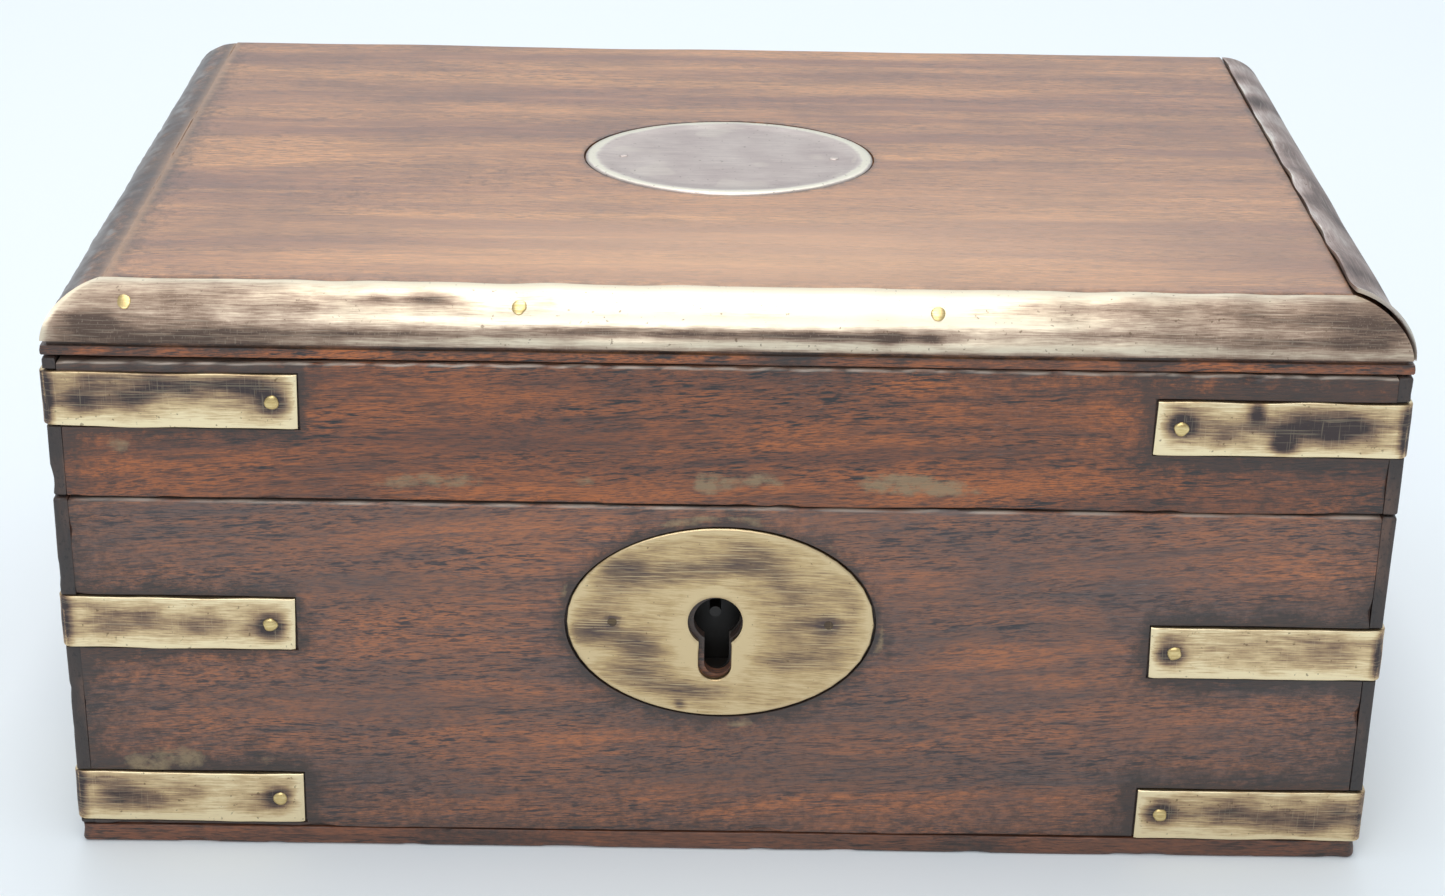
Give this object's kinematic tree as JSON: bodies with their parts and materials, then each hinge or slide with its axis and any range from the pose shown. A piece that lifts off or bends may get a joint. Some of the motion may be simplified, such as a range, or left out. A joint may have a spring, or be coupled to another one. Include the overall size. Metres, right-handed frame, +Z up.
{
  "type": "tea caddy",
  "caption": "Brass-bound wooden tea caddy: hinged lid, flush box lock behind an oval escutcheon, and a divided interior with lift-out inner lids on turned knobs.",
  "frame": {"origin": "middle of the underside, on the plane that the box stands on", "axes": "+X runs to the right along the front, -Y points out of the front with the keyhole, +Z points up"},
  "size_m": [0.206, 0.1363, 0.0945],
  "materials": {
    "carcass_wood": "worn oil and old polish over open dark pores",
    "top_wood": "worn polish, paler and warmer than the sides",
    "bottom_wood": "bare, rubbed",
    "inner_wood": "bare, planed",
    "worn_brass": "rubbed, with brown patina",
    "dark_brass": "dark brown patina",
    "pin_brass": "rubbed heads",
    "knob_brass": "turned, handled",
    "hinge_brass": "dull",
    "lock_brass": "filed, dull",
    "lock_iron": "dark, oily"
  },
  "bodies": {
    "base": {"base_back_board": "carcass_wood", "base_front_board": "carcass_wood", "base_left_board": "carcass_wood", "base_lower_strap_back_left": "worn_brass", "base_lower_strap_back_right": "worn_brass", "base_lower_strap_front_left": "worn_brass", "base_lower_strap_front_right": "worn_brass", "base_lower_strap_pin_front_left": "pin_brass", "base_lower_strap_pin_front_right": "pin_brass", "base_right_board": "carcass_wood", "base_upper_strap_back_left": "worn_brass", "base_upper_strap_back_right": "worn_brass", "base_upper_strap_front_left": "worn_brass", "base_upper_strap_front_right": "worn_brass", "base_upper_strap_pin_front_left": "pin_brass", "base_upper_strap_pin_front_right": "pin_brass", "bottom_board": "bottom_wood", "escutcheon": "worn_brass", "escutcheon_pin_left": "pin_brass", "escutcheon_pin_right": "pin_brass", "hinge_base_leaf_left": "hinge_brass", "hinge_base_leaf_right": "hinge_brass", "hinge_pin_left": "hinge_brass", "hinge_pin_right": "hinge_brass", "inner_lid_slip_left": "inner_wood", "inner_lid_slip_right": "inner_wood", "lock_case": "lock_iron", "lock_key_pin": "lock_iron", "lock_plate": "lock_brass", "partition": "inner_wood"},
    "lid": {"front_edge_strip": "worn_brass", "front_edge_strip_pin_1": "pin_brass", "front_edge_strip_pin_2": "pin_brass", "front_edge_strip_pin_3": "pin_brass", "hinge_lid_leaf_left": "hinge_brass", "hinge_lid_leaf_right": "hinge_brass", "lid_back_rail": "carcass_wood", "lid_front_rail": "carcass_wood", "lid_left_rail": "carcass_wood", "lid_plaque": "worn_brass", "lid_plaque_pin_left": "pin_brass", "lid_plaque_pin_right": "pin_brass", "lid_right_rail": "carcass_wood", "lid_strap_back_left": "worn_brass", "lid_strap_back_right": "worn_brass", "lid_strap_front_left": "worn_brass", "lid_strap_front_right": "worn_brass", "lid_strap_pin_front_left": "pin_brass", "lid_strap_pin_front_right": "pin_brass", "lid_top_board": "top_wood", "link_plate": "lock_brass", "right_edge_strip": "dark_brass"},
    "lock_bolt": {"lock_bolt": "lock_iron", "lock_spring": "lock_iron"},
    "inner_lid_left": {"inner_lid_left": "inner_wood", "inner_lid_knob_left": "knob_brass"},
    "inner_lid_right": {"inner_lid_right": "inner_wood", "inner_lid_knob_right": "knob_brass"}
  },
  "joints": [
    {"name": "lid_hinge", "type": "hinge", "parent": "base", "child": "lid", "pos_m": [0, 0.0645, 0.0612], "axis": [-1, 0, 0], "range_deg": [0, 100]},
    {"name": "lock_bolt_slide", "type": "slide", "parent": "base", "child": "lock_bolt", "axis": [1, 0, 0], "range_m": [0, 0.0045]},
    {"name": "inner_lid_left_lift", "type": "slide", "parent": "base", "child": "inner_lid_left", "axis": [0, 0, 1], "range_m": [0, 0.018]},
    {"name": "inner_lid_right_lift", "type": "slide", "parent": "base", "child": "inner_lid_right", "axis": [0, 0, 1], "range_m": [0, 0.018]}
  ]
}
